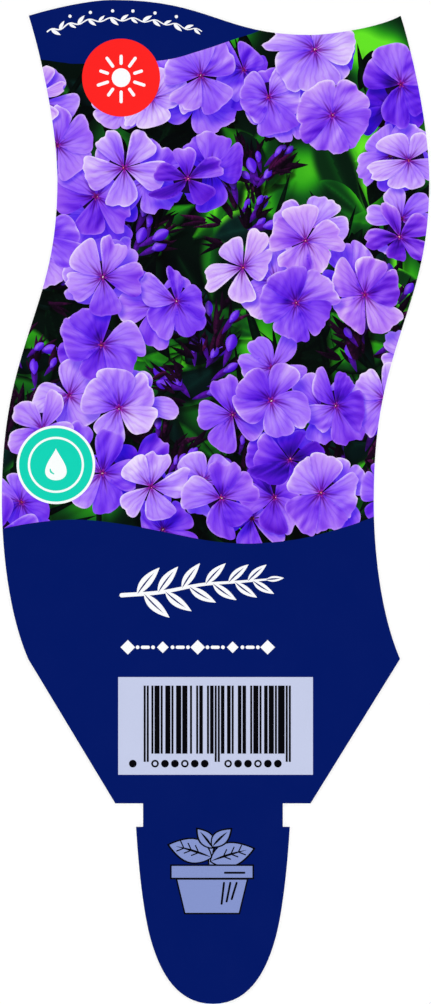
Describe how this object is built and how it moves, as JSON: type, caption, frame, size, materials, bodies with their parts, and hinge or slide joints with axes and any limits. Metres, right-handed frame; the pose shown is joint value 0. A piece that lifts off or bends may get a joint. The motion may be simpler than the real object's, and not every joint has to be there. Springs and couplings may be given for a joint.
{
  "type": "plant label",
  "caption": "Flat wavy plastic plant label with a printed flower picture, straight shoulders, a notched neck for a pot's slot and a rounded tongue.",
  "frame": {"origin": "centre of the neck, on the back face, where the label sits in the slot of a pot's rim", "axes": "+X to the label's right seen from the printed side, +Y along the label to its top edge, +Z out of the printed face"},
  "size_m": [0.0731, 0.1717, 0.0005],
  "materials": {
    "printed_plastic": "satin varnish over print on white polypropylene"
  },
  "bodies": {
    "root": {"label_sheet": "printed_plastic"}
  },
  "joints": []
}
